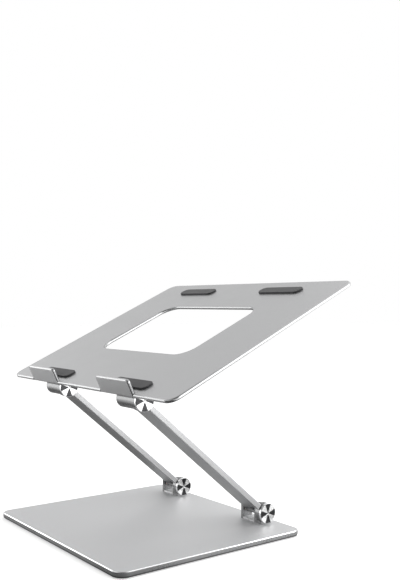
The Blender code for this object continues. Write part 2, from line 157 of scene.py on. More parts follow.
PAD_LENGTH = 56 * MM
PAD_WIDTH = 12 * MM
PAD_CORNER = 5.5 * MM
PAD_TOP = 1.7 * MM
PAD_EDGE = 0.5 * MM
PAD_PLACES = {"front": 2 * MM, "rear": 186 * MM}
HOOK_PAD_WIDTH = 44 * MM
HOOK_PAD_LOW = 15.6 * MM
HOOK_PAD_HIGH = 24.5 * MM
HOOK_PAD_TOP = 1.5 * MM
HOOK_PAD_RIBS = 5

# Screws that hold the brackets
SCREW_RADIUS = 1.5 * MM
SCREW_HEAD_RADIUS = 2.9 * MM
SCREW_HEAD_HEIGHT = 1.6 * MM
SCREW_EDGE = 0.15 * MM
SCREW_TIP = 0.6 * MM
SCREW_HOLE_PLAY = 0.3 * MM
SCREW_BITE = 1.6 * MM
SCREW_HOLE_DEPTH = 2.16 * MM
SCREW_SOCKET = 2.0 * MM
SCREW_SOCKET_DEPTH = 1.1 * MM
SOCKET_POINT = (1.3, 0.3)  # depth and width of a socket's drilled end, as shares of the socket's
SCREW_OFFSETS = {"inner": -5.8 * MM, "outer": 7.3 * MM}

# Camera and studio
CAMERA_PLACE = Vector((0.6103, -0.4158, 0.2059))
CAMERA_AZIMUTH = math.radians(52.91)
CAMERA_PITCH = math.radians(1.02)
CAMERA_LENS = 48.38
FLOOR_SIZE = 12.0
LIGHT_AIM = (0.0, 0.0, 0.1)

# Each light's place and size in metres, and its power in watts
SOFTBOXES = {
    "right_light": ((0.80, 0.60, 0.20), 1.6, 19),
    "top_light": ((0.00, 0.55, 1.00), 1.1, 2.3),
    "left_light": ((-1.00, -0.35, 0.75), 0.6, 1.15),
    "front_light": ((-0.60, -0.45, 0.12), 0.5, 1.1),
}

# Floor as the camera sees it, then its tones in reflections. A fade has a direction, the tones before and
# after it, and how far along the direction it starts and ends
FLOOR_SEEN = (0.93, 0.93, 0.93)
FLOOR_GLOW = 0.42
FLOOR_AHEAD = ((0, -1, 0), 0.26, 1.0, 0.16, 0.23)
FLOOR_TOWARDS_CAMERA = ((0.8, -0.6, 0), 1.0, 0.08, 0.11, 0.165)
FLOOR_BEHIND_RIGHT = ((0.8, 0.6, 0), 0.0, 1.0, 0.13, 0.19)

# Room's tones by height, and the fade to a dark card overhead on the camera's side
ROOM_TONES = ((0.0, 1.0), (0.2, 0.95), (0.5, 0.80), (1.0, 0.70))
DARK_CARD = ((0.55, -0.42, 0.72), 1.0, 0.30, 0.68, 0.88)

# Metal: tones, and for each blasted and anodised finish its metallic share, tone, roughness and grain depth.
# All stand for one and the same anodising: the copies for the base's wall and undercut, the arms, the tray
# and the brackets have tone and metallic share retuned to paint in the light and shade of their faces,
# with painted shade darkest on the undercut and the brackets
EDGE_TONE = 0.90
# A darker copy of the bright edge tone: painted shade that gives the tray's and brackets' polished rims dark
# outlines
SHADED_RIM_TONE = 0.42
WORN_TONE = 0.80
COARSE = 0.008 * MM
FINE = 0.004 * MM
ANODISED = {
    "base": (0.50, 0.66, 0.50, COARSE),
    "base_wall_shade": (0.90, 0.76, 0.30, COARSE),
    "base_undercut_shade": (0.90, 0.30, 0.34, COARSE),
    "arm": (0.90, 0.39, 0.38, COARSE),
    "tray": (0.85, 0.53, 0.34, COARSE),
    # The brackets' dark tone is painted shade
    "bracket": (0.95, 0.25, 0.25, FINE),
}
# Caps' turned faces: wedges of painted reflection, the pitch of their real turning rings, and the near-black
# and near-white tones painted in the wedges
CAP_REFLECTION_SECTORS = 4
CAP_RING_PITCH = 0.11 * MM
CAP_REFLECTION_TONES = ((0.03, 0.03, 0.032), (0.90, 0.90, 0.90))

# Other materials: the two tones between which each varies, and those of its spots and wear
STEEL_TONES = ((0.42, 0.425, 0.44), (0.60, 0.60, 0.61))
STEEL_SPOT = (0.36, 0.36, 0.36)
STEEL_WORN = (0.80, 0.80, 0.80)
NYLON_TONES = ((0.70, 0.69, 0.64), (0.80, 0.795, 0.76))
SILICONE_TONES = ((0.022, 0.022, 0.024), (0.040, 0.040, 0.043))
SILICONE_WORN = (0.11, 0.11, 0.115)
LINT = (0.20, 0.20, 0.20)

# Places read from the frame
LOWER_AXIS = Vector(frame["joints"][0]["pos_m"])
UPPER_AXIS = Vector(frame["joints"][1]["pos_m"])
ARM_VECTOR = UPPER_AXIS - LOWER_AXIS
ARM_LENGTH = ARM_VECTOR.length
ARM_RISE = math.atan2(ARM_VECTOR.z, -ARM_VECTOR.y)
BASE_LOW, BASE_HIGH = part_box("base_plate")
TRAY_LOW, TRAY_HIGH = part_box("tray_plate")
SIDES = {side: (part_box(f"arm_{side}")[0].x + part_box(f"arm_{side}")[1].x) / 2 for side in ("left", "right")}
HOOKS = {side: centre + HOOK_OFFSET for side, centre in SIDES.items()}

# Each level's body, axis and turn about that axis
HINGES = {
    "lower": ("base", LOWER_AXIS, 0.0),
    "upper": ("tray", UPPER_AXIS, TRAY_TILT_AT_REST + math.pi),
}


# Mesh tools

def arc(centre, radius, start, end, steps):
    """Points on an arc about centre, both ends included, with angles in radians."""
    points = []
    for step in range(steps + 1):
        angle = start + (end - start) * step / steps
        points.append((centre[0] + radius * math.cos(angle), centre[1] + radius * math.sin(angle)))
    return points


def rounded_rectangle(length, width, radius):
    """Anticlockwise outline of a rectangle with round corners, about the origin."""
    points = []
    for sign_x, sign_y, turn in ((1, 1, 0.0), (-1, 1, 0.5), (-1, -1, 1.0), (1, -1, 1.5)):
        centre = (sign_x * (length / 2 - radius), sign_y * (width / 2 - radius))
        points += arc(centre, radius, turn * math.pi, (turn + 0.5) * math.pi, CORNER_STEPS)
    return points


def loft(rings, finishes=None, closed=False):
    """A solid through rings of equal point count, with one finish for each band between two rings."""
    build = bmesh.new()
    loops = [[build.verts.new(point) for point in ring] for ring in rings]
    pairs = list(zip(loops, loops[1:]))
    if closed:
        pairs.append((loops[-1], loops[0]))
    for band, (low, high) in enumerate(pairs):
        for index in range(len(low)):
            after = (index + 1) % len(low)
            face = build.faces.new((low[index], low[after], high[after], high[index]))
            face.material_index = finishes[band] if finishes else BODY
    if not closed:
        build.faces.new(list(reversed(loops[0])))
        build.faces.new(loops[-1])
    bmesh.ops.recalc_face_normals(build, faces=build.faces)
    mesh = bpy.data.meshes.new("solid")
    build.to_mesh(mesh)
    build.free()
    return mesh


def rounded_plate(length, width, radius, levels, finishes=None):
    """A round-cornered flat piece along Z, through (inset, z) levels."""
    rings = []
    for inset, z in levels:
        outline = rounded_rectangle(length - 2 * inset, width - 2 * inset, max(radius - inset, GLUE))
        rings.append([(x, y, z) for x, y in outline])
    return loft(rings, finishes)


def edge_levels(low, high, edge, low_edge=True):
    """(inset, z) levels of a plate whose top edge, and bottom edge if asked, is rounded by edge."""
    top = [(edge - x, high - edge + y) for x, y in arc((0, 0), edge, 0, math.pi / 2, EDGE_STEPS)]
    if not low_edge:
        return [(0, low)] + top
    bottom = [(inset, low + high - z) for inset, z in reversed(top)]
    return bottom + top


def extrusion(outline, low_x, high_x):
    """A side-view outline of (y, z) points, drawn out along X."""
    return loft([[(x, y, z) for y, z in outline] for x in (low_x, high_x)])


def turned(profile, finishes=None, steps=ROUND_STEPS, hollow=False):
    """A piece turned about X from (x, radius) points; a hollow profile is a closed loop off the axis."""
    rings = []
    for x, radius in profile:
        rings.append([(x, y, z) for y, z in arc((0, 0), radius, 0, math.tau, steps)[:-1]])
    return loft(rings, finishes, closed=hollow)


def ring_profile(low_x, high_x, inner, outer, edge):
    """Closed profile of a washer whose outer edges are chamfered."""
    return [(low_x, inner), (low_x, outer - edge), (low_x + edge, outer),
            (high_x - edge, outer), (high_x, outer - edge), (high_x, inner)]


def transformed(mesh, matrix):
    """The same mesh, moved or turned by a matrix."""
    mesh.transform(matrix)
    return mesh


def moved(mesh, offset):
    """The same mesh, moved by offset."""
    return transformed(mesh, Matrix.Translation(offset))


def upright(mesh):
    """The same turned mesh, with its axis along Z instead of X."""
    return transformed(mesh, Matrix.Rotation(-math.pi / 2, 4, "Y"))


def evaluated_copy(body):
    """Mesh of an object with its modifiers applied."""
    bpy.context.view_layer.update()
    graph = bpy.context.evaluated_depsgraph_get()
    return bpy.data.meshes.new_from_object(body.evaluated_get(graph), preserve_all_data_layers=True,
                                           depsgraph=graph)


def combine(mesh, others, operation):
    """mesh joined with, or cut by, each of the other meshes in turn."""
    body = bpy.data.objects.new("body", mesh)
    bpy.context.scene.collection.objects.link(body)
    tools = []
    for other in others:
        tool = bpy.data.objects.new("tool", other)
        bpy.context.scene.collection.objects.link(tool)
        tools.append(tool)
        step = body.modifiers.new("combine", "BOOLEAN")
        step.operation = operation
        step.solver = "EXACT"
        step.object = tool
    result = evaluated_copy(body)
    for item in [body, *tools]:
        bpy.data.objects.remove(item, do_unlink=True)
    return result


def chamfer(mesh, width, choose=None, segments=1, finish=EDGE):
    """Bevel the sharp outer edges that choose accepts; the new faces get the given finish."""
    build = bmesh.new()
    build.from_mesh(mesh)
    edges = [edge for edge in build.edges
             if edge.is_manifold and edge.is_convex and edge.calc_face_angle() > SHARP
             and (choose is None or choose(edge))]
    bmesh.ops.bevel(build, geom=edges, offset=width, offset_type="OFFSET", segments=segments,
                    profile=0.5, affect="EDGES", material=finish, clamp_overlap=False)
    bmesh.ops.recalc_face_normals(build, faces=build.faces)
    build.to_mesh(mesh)
    build.free()
    return mesh


def settle_shading(mesh):
    """Smooth shading that keeps flat faces flat and real edges sharp."""
    mesh.shade_smooth()
    mesh.set_sharp_from_angle(angle=SHARP)
    body = bpy.data.objects.new("body", mesh)
    bpy.context.scene.collection.objects.link(body)
    weigh = body.modifiers.new("weigh", "WEIGHTED_NORMAL")
    weigh.keep_sharp = True
    result = evaluated_copy(body)
    bpy.data.objects.remove(body, do_unlink=True)
    return result


def piece(name, mesh, finishes, body, node, place=Matrix()):
    """One finished piece: shown at place, riding on a CAD body and standing for a CAD node."""
    if not mesh.materials:
        for finish in finishes:
            mesh.materials.append(finish)
    made = bpy.data.objects.new(name, mesh)
    bpy.context.scene.collection.objects.link(made)
    made.matrix_world = place
    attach(made, body)
    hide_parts(node)
    return made


# Material tools

class Nodes:
    """Helper that adds nodes to one node tree."""

    def __init__(self, tree):
        self.tree = tree

    def add(self, kind, inputs=(), **settings):
        """A node with its settings; inputs maps a socket's name or number to a value or another socket."""
        made = self.tree.nodes.new(kind)
        for key, value in settings.items():
            setattr(made, key, value)
        for key, value in dict(inputs).items():
            if isinstance(value, bpy.types.NodeSocket):
                self.tree.links.new(value, made.inputs[key])
            else:
                made.inputs[key].default_value = value
        return made

    def maths(self, operation, first, second=0.0, clamp=False):
        """Result of one maths node."""
        return self.add("ShaderNodeMath", {0: first, 1: second}, operation=operation,
                        use_clamp=clamp).outputs[0]

    def along(self, place, direction):
        """How far place lies along a direction."""
        return self.add("ShaderNodeVectorMath", {0: place, 1: direction},
                        operation="DOT_PRODUCT").outputs["Value"]

    def spread(self, value, low, high, at_low=0.3, at_high=0.7):
        """value taken from its at_low to at_high range to low to high."""
        return self.add("ShaderNodeMapRange", {"Value": value, "From Min": at_low, "From Max": at_high,
                                               "To Min": low, "To Max": high}).outputs["Result"]

    def fade(self, place, direction, before, after, start, end):
        """A tone that goes from before to after between two distances along a direction."""
        return self.spread(self.along(place, direction), before, after, start, end)

    def mix(self, factor, first, second):
        """Two colours mixed, each a socket or an (r, g, b) value."""
        made = self.add("ShaderNodeMix", data_type="RGBA")
        for index, value in ((0, factor), (6, first), (7, second)):
            if isinstance(value, bpy.types.NodeSocket):
                self.tree.links.new(value, made.inputs[index])
            else:
                made.inputs[index].default_value = (*value, 1.0) if index else value
        return made.outputs[2]


class Shader(Nodes):
    """A new material's node tree, with its Principled shader and object coordinates."""

    def __init__(self, name, **uniform):
        self.material = bpy.data.materials.new(name)
        self.material.use_nodes = True
        super().__init__(self.material.node_tree)
        self.surface = self.tree.nodes["Principled BSDF"]
        for socket, value in uniform.items():
            self.surface.inputs[socket.replace("_", " ")].default_value = value
        self.place = self.add("ShaderNodeTexCoord").outputs["Object"]

    def noise(self, size, detail, stretch=(1, 1, 1)):
        """Noise whose features are about size metres across, drawn out by stretch."""
        scaled = self.add("ShaderNodeMapping", {"Vector": self.place,
                                                "Scale": tuple(1 / (size * s) for s in stretch)})
        return self.add("ShaderNodeTexNoise", {"Vector": scaled.outputs["Vector"], "Scale": 1.0,
                                               "Detail": detail}).outputs["Fac"]

    def edge_wear(self, radius, patch_size):
        """1 on rubbed outer edges and 0 on flat faces, broken up by noise."""
        rounded = self.add("ShaderNodeBevel", {"Radius": radius}, samples=6).outputs["Normal"]
        flat = self.add("ShaderNodeNewGeometry").outputs["Normal"]
        near_edge = self.spread(self.along(rounded, flat), 1.0, 0.0, 0.86, 0.995)
        patches = self.spread(self.noise(patch_size, detail=4), 0.15, 1.0, 0.42, 0.60)
        return self.maths("MULTIPLY", near_edge, patches, clamp=True)

    def bump(self, height, distance, strength=1.0):
        """Normal of a height map."""
        return self.add("ShaderNodeBump", {"Height": height, "Distance": distance,
                                           "Strength": strength}).outputs["Normal"]

    def drive(self, **sockets):
        """Link sockets to the Principled shader's inputs and return the material."""
        for socket, value in sockets.items():
            self.tree.links.new(value, self.surface.inputs[socket.replace("_", " ")])
        return self.material


# Materials

def silver(tone):
    """A grey with the slightly cool cast of aluminium."""
    return (tone * 0.995, tone, tone * 1.01)


def anodised_aluminium(name, metallic, tone, roughness, grain_depth):
    """Bead-blasted silver anodising: a fine grain, faint clouds from handling and rubbed edges."""
    shader = Shader(name, Metallic=metallic)
    grain = shader.noise(size=0.16 * MM, detail=3)
    pits = shader.noise(size=0.45 * MM, detail=2)
    clouds = shader.noise(size=28 * MM, detail=3)
    wear = shader.edge_wear(radius=0.5 * MM, patch_size=5 * MM)
    colour = shader.mix(shader.spread(grain, 0, 1), silver(tone * 0.90), silver(tone * 1.10))
    colour = shader.mix(shader.spread(clouds, 0.0, 0.5), colour, silver(tone * 1.02))
    colour = shader.mix(shader.maths("MULTIPLY", wear, 0.5), colour, silver(WORN_TONE))
    rough = shader.maths("ADD", shader.spread(clouds, roughness - 0.03, roughness + 0.03),
                         shader.spread(pits, -0.03, 0.03))
    rough = shader.maths("SUBTRACT", rough, shader.maths("MULTIPLY", wear, 0.12))
    height = shader.maths("ADD", grain, shader.maths("MULTIPLY", pits, 0.6))
    return shader.drive(Base_Color=colour, Roughness=rough, Normal=shader.bump(height, grain_depth))


def bright_edge(name, tone):
    """Diamond-cut or polished edge, with fine cutter marks and small nicks."""
    shader = Shader(name, Metallic=1.0)
    marks = shader.noise(size=0.12 * MM, detail=3, stretch=(12, 12, 1))
    nicks = shader.noise(size=1.6 * MM, detail=5)
    nicked = shader.spread(nicks, 0.0, 1.0, 0.66, 0.74)
    colour = shader.mix(shader.spread(marks, 0, 1), silver(tone * 0.95), silver(tone * 1.05))
    colour = shader.mix(shader.maths("MULTIPLY", nicked, 0.35), colour, silver(tone * 0.6))
    roughness = shader.maths("ADD", shader.spread(marks, 0.13, 0.22), shader.maths("MULTIPLY", nicked, 0.2))
    return shader.drive(Base_Color=colour, Roughness=roughness, Normal=shader.bump(marks, 0.004 * MM))


def painted_cap_reflection(shader, radius, angle, drift):
    """Painted reflection: 1 in the bright wedges of a cap's face and 0 in the dark ones, with soft, slightly
    uneven sides.
    """
    wobble = shader.spread(drift, -0.02, 0.02)
    turns = shader.maths("MULTIPLY", shader.maths("ADD", angle, wobble), float(CAP_REFLECTION_SECTORS))
    hub = shader.spread(radius, 0.0, 1.0, 0.3 * MM, 1.1 * MM)
    painted_sheen = shader.maths("MULTIPLY", shader.maths("COSINE", turns), hub)
    return shader.spread(painted_sheen, 1.0, 0.0, -0.25, 0.25)


def turned_face():
    """Face-turned aluminium cap: fine rings, and a painted reflection of bright and dark wedges in its colour.
    """
    shader = Shader("turned_face", Metallic=1.0, Anisotropic=0.6)
    around = shader.add("ShaderNodeTangent", direction_type="RADIAL", axis="X").outputs["Tangent"]
    split = shader.add("ShaderNodeSeparateXYZ", {0: shader.place})
    across, up = split.outputs["Y"], split.outputs["Z"]
    radius = shader.maths("SQRT", shader.maths("ADD", shader.maths("MULTIPLY", across, across),
                                               shader.maths("MULTIPLY", up, up)))
    drift = shader.noise(size=2.2 * MM, detail=3)
    painted_reflection = painted_cap_reflection(shader, radius, shader.maths("ARCTAN2", up, across), drift)
    rings = shader.maths("SINE", shader.maths("MULTIPLY", radius, math.tau / CAP_RING_PITCH))
    fine = shader.spread(rings, -0.06, 0.06, -1.0, 1.0)
    # The colour is the painted reflection's near-black and near-white wedges, with the rings' fine marks on
    # top
    colour = shader.mix(shader.maths("ADD", painted_reflection, fine, clamp=True), *CAP_REFLECTION_TONES)
    roughness = shader.maths("ADD", shader.spread(drift, 0.20, 0.28), shader.maths("MULTIPLY", fine, 0.5))
    normal = shader.bump(rings, 0.003 * MM)
    return shader.drive(Base_Color=colour, Roughness=roughness, Normal=normal, Tangent=around)


def brushed_steel():
    """Zinc-grey steel of the pins, screws, nuts and springs, with turning marks and dull spots."""
    shader = Shader("brushed_steel", Metallic=1.0)
    marks = shader.noise(size=0.09 * MM, detail=3, stretch=(1, 8, 8))
    spots = shader.noise(size=0.9 * MM, detail=4)
    wear = shader.edge_wear(radius=0.2 * MM, patch_size=1.5 * MM)
    colour = shader.mix(shader.spread(marks, 0, 1), *STEEL_TONES)
    colour = shader.mix(shader.spread(spots, 0.0, 0.35), colour, STEEL_SPOT)
    colour = shader.mix(shader.maths("MULTIPLY", wear, 0.6), colour, STEEL_WORN)
    roughness = shader.maths("ADD", shader.spread(marks, 0.22, 0.34), shader.spread(spots, -0.02, 0.08))
    return shader.drive(Base_Color=colour, Roughness=roughness, Normal=shader.bump(marks, 0.006 * MM))


def nylon():
    """Off-white nylon of the friction washers, slightly mottled and polished where it rubs."""
    shader = Shader("nylon", Subsurface_Weight=0.15, Subsurface_Scale=0.6 * MM)
    mottle = shader.noise(size=0.7 * MM, detail=4)
    rubbed = shader.noise(size=0.15 * MM, detail=2, stretch=(1, 6, 6))
    colour = shader.mix(shader.spread(mottle, 0, 1), *NYLON_TONES)
    return shader.drive(Base_Color=colour, Roughness=shader.spread(rubbed, 0.38, 0.55),
                        Normal=shader.bump(mottle, 0.01 * MM))


def silicone():
    """Dark grey silicone: matt, finely pebbled, with lint and paler rubbed edges."""
    shader = Shader("silicone", Specular_IOR_Level=0.4, Sheen_Weight=0.15, Sheen_Roughness=0.5)
    pebbles = shader.add("ShaderNodeTexVoronoi", {"Vector": shader.place, "Scale": 1 / (0.42 * MM)},
                         feature="SMOOTH_F1").outputs["Distance"]
    clouds = shader.noise(size=9 * MM, detail=4)
    lint = shader.spread(shader.noise(size=0.5 * MM, detail=5, stretch=(1, 3, 1)), 0.0, 1.0, 0.68, 0.76)
    wear = shader.edge_wear(radius=0.4 * MM, patch_size=3 * MM)
    colour = shader.mix(shader.spread(clouds, 0, 1), *SILICONE_TONES)
    colour = shader.mix(shader.maths("MULTIPLY", wear, 0.35), colour, SILICONE_WORN)
    colour = shader.mix(shader.maths("MULTIPLY", lint, 0.3), colour, LINT)
    roughness = shader.spread(clouds, 0.58, 0.74)
    return shader.drive(Base_Color=colour, Roughness=roughness, Normal=shader.bump(pebbles, 0.04 * MM, 0.7))


def make_looks():
    """The materials of each kind of piece, in the order of its faces' finishes."""
    metal = {name: anodised_aluminium(f"{name}_aluminium", *finish) for name, finish in ANODISED.items()}
    edge = bright_edge("bright_edge", EDGE_TONE)
    # Darker copy of the bright edge, painted shade along the tray's and brackets' rims
    rim = bright_edge("shaded_polished_rim", SHADED_RIM_TONE)
    return {
        # The base's wall and undercut copies paint in the shade of those faces
        "base": (metal["base"], edge, metal["base_wall_shade"], metal["base_undercut_shade"]),
        "arm": (metal["arm"], edge),
        "tray": (metal["tray"], rim),
        # The bracket's dark tone is painted shade; its bridge takes the plate's lighter anodising
        "bracket": (metal["bracket"], rim, metal["base"]),
        "cap": (turned_face(), edge),
        "steel": (brushed_steel(),),
        "nylon": (nylon(),),
        "silicone": (silicone(),),
    }


# Base

def screw_hole(x, y, plate_thickness):
    """Cutter for a countersunk screw through a plate, along +Z, with a short land at its mouth, z = 0."""
    wide = SCREW_HEAD_RADIUS + SCREW_HOLE_PLAY
    narrow = SCREW_RADIUS + SCREW_HOLE_PLAY
    over = SCREW_HEAD_HEIGHT
    profile = [(-over, wide), (GLUE, wide), (SCREW_HEAD_HEIGHT, narrow), (plate_thickness + over, narrow)]
    return moved(upright(turned(profile, steps=SMALL_STEPS)), (x, y, 0))


def base_mesh(foot_boxes):
    """Plate with bright chamfers, four foot pockets beneath and the brackets' screw holes."""
    size = BASE_HIGH - BASE_LOW
    middle = (BASE_LOW + BASE_HIGH) / 2
    levels = [(BASE_CHAMFER, BASE_LOW.z), (0, BASE_LOW.z + BASE_UNDERCUT),
              (0, BASE_HIGH.z - BASE_CHAMFER), (BASE_CHAMFER, BASE_HIGH.z)]
    # The undercut and wall bands get their painted-shade copies of the anodising, the top chamfer the bright
    # edge
    plate = moved(rounded_plate(size.x, size.y, BASE_CORNER, levels, (UNDERCUT, WALL, EDGE)),
                  (middle.x, middle.y, 0))
    cutters = []
    for low, high in foot_boxes:
        pocket = rounded_plate(high.x - low.x, high.y - low.y, FOOT_CORNER,
                               [(-POCKET_PLAY, 0), (-POCKET_PLAY, high.z + POCKET_PLAY)])
        cutters.append(moved(pocket, ((low.x + high.x) / 2, (low.y + high.y) / 2, 0)))
    for side in SIDES.values():
        for offset in SCREW_OFFSETS.values():
            hole = screw_hole(side + offset, LOWER_AXIS.y, size.z)
            cutters.append(moved(hole, (0, 0, BASE_LOW.z)))
    return combine(plate, cutters, "DIFFERENCE")


def foot_mesh(low, high):
    """Silicone foot about its own centre, with soft edges and lengthwise grooves beneath."""
    length, width = high.x - low.x, high.y - low.y
    foot = rounded_plate(length, width, FOOT_CORNER, edge_levels(low.z, high.z, FOOT_EDGE))
    grooves = []
    for row in range(FOOT_GROOVES):
        y = (row - (FOOT_GROOVES - 1) / 2) * width / (FOOT_GROOVES + 1)
        groove = rounded_plate(length - FOOT_CORNER * 2, FOOT_GROOVE_WIDTH, GROOVE_CORNER,
                               [(0, low.z - FOOT_EDGE), (0, low.z + FOOT_GROOVE_DEPTH)])
        grooves.append(moved(groove, (0, y, 0)))
    return combine(foot, grooves, "DIFFERENCE")


def build_base(looks):
    """Base plate and its four feet."""
    names = [f"base_foot_{end}_{side}" for end in ("front", "rear") for side in SIDES]
    boxes = {name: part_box(name) for name in names}
    plate = settle_shading(base_mesh(boxes.values()))
    piece("machined_base", plate, looks["base"], "base", "base_plate")
    foot = settle_shading(foot_mesh(*boxes[names[0]]))
    for name, (low, high) in boxes.items():
        place = Matrix.Translation(((low.x + high.x) / 2, (low.y + high.y) / 2, 0))
        piece(f"soft_{name}", foot, looks["silicone"], "base", name, place)


# Hinges

def bracket_outline(inset):
    """Side view of the ear and the boss, flat towards the arm and round above, moved in by inset."""
    radius = POST_RADIUS - inset
    half = POST_HALF_DEPTH - inset
    meet = math.acos(half / radius)
    crown = arc((0, 0), radius, -meet, math.pi - meet, ROUND_STEPS // 2)
    return crown + [(-half, -AXIS_HEIGHT), (half, -AXIS_HEIGHT)]


def open_slot():
    """Side view of a lower bracket's slot, open in front, behind and above."""
    return [(SLOT_REACH, BRIDGE_TOP), (SLOT_REACH, SLOT_REACH),
            (-SLOT_REACH, SLOT_REACH), (-SLOT_REACH, BRIDGE_TOP)]


def hooded_slot():
    """Side view of an upper bracket's slot, open only towards the arm and its sweep."""
    seat_start = -math.acos(HOOD_BACK / HOOD_BORE)
    seat = arc((0, 0), HOOD_BORE, seat_start, math.pi - HOOD_END, ROUND_STEPS // 3)
    sweep = arc((0, 0), SLOT_REACH, math.pi - HOOD_END, math.pi, BEND_STEPS)
    return [(HOOD_BACK, BRIDGE_TOP)] + seat + sweep + [(-SLOT_REACH, BRIDGE_TOP)]


def is_slot_rim(edge):
    """Whether an edge is on the rim of a bracket's slot and not on the pin hole's."""
    ends = [vert.co for vert in edge.verts]
    on_wall = all(min(abs(end.x - EAR_INNER), abs(end.x - BOSS_INNER)) < GLUE for end in ends)
    return on_wall and all(math.hypot(end.y, end.z) > PIN_HOLE + GLUE for end in ends)


def finished_bridge(mesh):
    """The bracket with its bridge split off at the slot's walls and given the plate's lighter finish, which
    leaves the bridge out of the bracket's painted shade.
    """
    build = bmesh.new()
    build.from_mesh(mesh)
    for wall in (EAR_INNER, BOSS_INNER):
        bmesh.ops.bisect_plane(build, geom=[*build.verts, *build.edges, *build.faces], dist=TOUCH,
                               plane_co=(wall, 0, 0), plane_no=(1, 0, 0))
    for face in build.faces:
        middle = face.calc_center_median()
        if EAR_INNER < middle.x < BOSS_INNER and middle.z < BRIDGE_TOP + GLUE:
            face.material_index = BRIDGE
    build.to_mesh(mesh)
    build.free()
    return mesh


def bracket_mesh(low_x, high_x, slot_outline):
    """Ear, boss and barrel in one machined block, with a thin bridge under the knuckle's slot."""
    rings = []
    for inset, x in ((BRACKET_CHAMFER, low_x), (0, low_x + BRACKET_CHAMFER), (0, high_x)):
        rings.append([(x, y, z) for y, z in bracket_outline(inset)])
    block = loft(rings, (EDGE, BODY))
    barrel = turned([(BARREL_START, BARREL_RADIUS - BRACKET_CHAMFER),
                     (BARREL_START + BRACKET_CHAMFER, BARREL_RADIUS),
                     (high_x - BRACKET_CHAMFER, BARREL_RADIUS),
                     (high_x, BARREL_RADIUS - BRACKET_CHAMFER)], (BODY, BODY, EDGE))
    cutters = [extrusion(slot_outline, EAR_INNER, BOSS_INNER),
               turned([(low_x * 2, PIN_HOLE), (high_x * 2, PIN_HOLE)], steps=SMALL_STEPS),
               turned([(SPRING_FLOOR, SPRING_BORE), (high_x * 2, SPRING_BORE)])]
    for offset in SCREW_OFFSETS.values():
        hole = turned([(-SCREW_HOLE_DEPTH, SCREW_RADIUS), (SCREW_HOLE_DEPTH, SCREW_RADIUS)],
                      steps=SMALL_STEPS)
        cutters.append(moved(upright(hole), (offset, 0, -AXIS_HEIGHT)))
    bracket = combine(combine(block, [barrel], "UNION"), cutters, "DIFFERENCE")
    return chamfer(finished_bridge(bracket), SLOT_CHAMFER, is_slot_rim)


def hex_socket(across_flats, depth, face_x):
    """Cutter for a hexagon socket whose mouth is at face_x, going along +X."""
    corner = across_flats / math.sqrt(3)
    point_depth, point_width = SOCKET_POINT
    return turned([(face_x - depth, corner), (face_x + depth, corner),
                   (face_x + depth * point_depth, corner * point_width)], steps=NUT_SIDES)


def pin_mesh(low_x, high_x, head_end):
    """Hinge pin along X with a chamfered round head and a hexagon socket."""
    profile = [(low_x, PIN_HEAD_RADIUS - PIN_HEAD_EDGE), (low_x + PIN_HEAD_EDGE, PIN_HEAD_RADIUS),
               (head_end, PIN_HEAD_RADIUS), (head_end, PIN_RADIUS),
               (high_x - PIN_HEAD_EDGE, PIN_RADIUS), (high_x, PIN_RADIUS - PIN_HEAD_EDGE)]
    return combine(turned(profile), [hex_socket(PIN_SOCKET, PIN_SOCKET_DEPTH, low_x)], "DIFFERENCE")


def nut_mesh(low_x, high_x, corner):
    """Hexagon nut with rounded corners and a plain bore."""
    nut = chamfer(turned([(low_x, corner), (high_x, corner)], steps=NUT_SIDES), NUT_EDGE, segments=2,
                  finish=BODY)
    bore = turned([(low_x * 2 - high_x, PIN_HOLE), (high_x * 2 - low_x, PIN_HOLE)], steps=SMALL_STEPS)
    return combine(nut, [bore], "DIFFERENCE")


def spring_mesh(low_x, high_x, radius):
    """Conical spring washer."""
    sheet = (high_x - low_x) * SPRING_SHEET
    return turned([(low_x, PIN_HOLE), (low_x, PIN_HOLE + sheet), (high_x - sheet, radius),
                   (high_x, radius), (high_x, radius - sheet), (low_x + sheet, PIN_HOLE)], hollow=True)


def cap_mesh(low_x, high_x, radius):
    """Round cap with a spigot, a bright chamfer, a fine ring near its rim and a centre mark."""
    face, flange = high_x, high_x - CAP_FLANGE
    spigot = SPRING_BORE - POCKET_PLAY
    groove = radius - CAP_CHAMFER - CAP_RIM
    side = [
        (low_x, spigot - POCKET_PLAY), (low_x + POCKET_PLAY, spigot), (flange, spigot),
        (flange, radius - CAP_CHAMFER / 2), (flange + CAP_CHAMFER / 2, radius),
        (face - CAP_CHAMFER, radius), (face, radius - CAP_CHAMFER),
    ]
    front = [
        (face, groove), (face - CAP_GROOVE_DEPTH, groove - CAP_GROOVE_WIDTH / 2),
        (face, groove - CAP_GROOVE_WIDTH), *((face, ring) for ring in CAP_FACE_RINGS),
        (face, CAP_DIMPLE_RADIUS), (face - CAP_DIMPLE_DEPTH, CAP_DIMPLE_POINT),
    ]
    finishes = [EDGE] * (len(side) - 1) + [BODY] * len(front)
    return turned(side + front, finishes, steps=ROUND_STEPS * 2)


def screw_mesh(length):
    """Countersunk screw along +Z with its flat head and hexagon socket at z = 0."""
    profile = [(0, SCREW_HEAD_RADIUS - SCREW_EDGE), (SCREW_EDGE, SCREW_HEAD_RADIUS),
               (SCREW_HEAD_HEIGHT, SCREW_RADIUS), (length - SCREW_TIP, SCREW_RADIUS),
               (length, SCREW_RADIUS - SCREW_TIP)]
    socket = hex_socket(SCREW_SOCKET, SCREW_SOCKET_DEPTH, 0)
    return upright(combine(turned(profile, steps=SMALL_STEPS), [socket], "DIFFERENCE"))


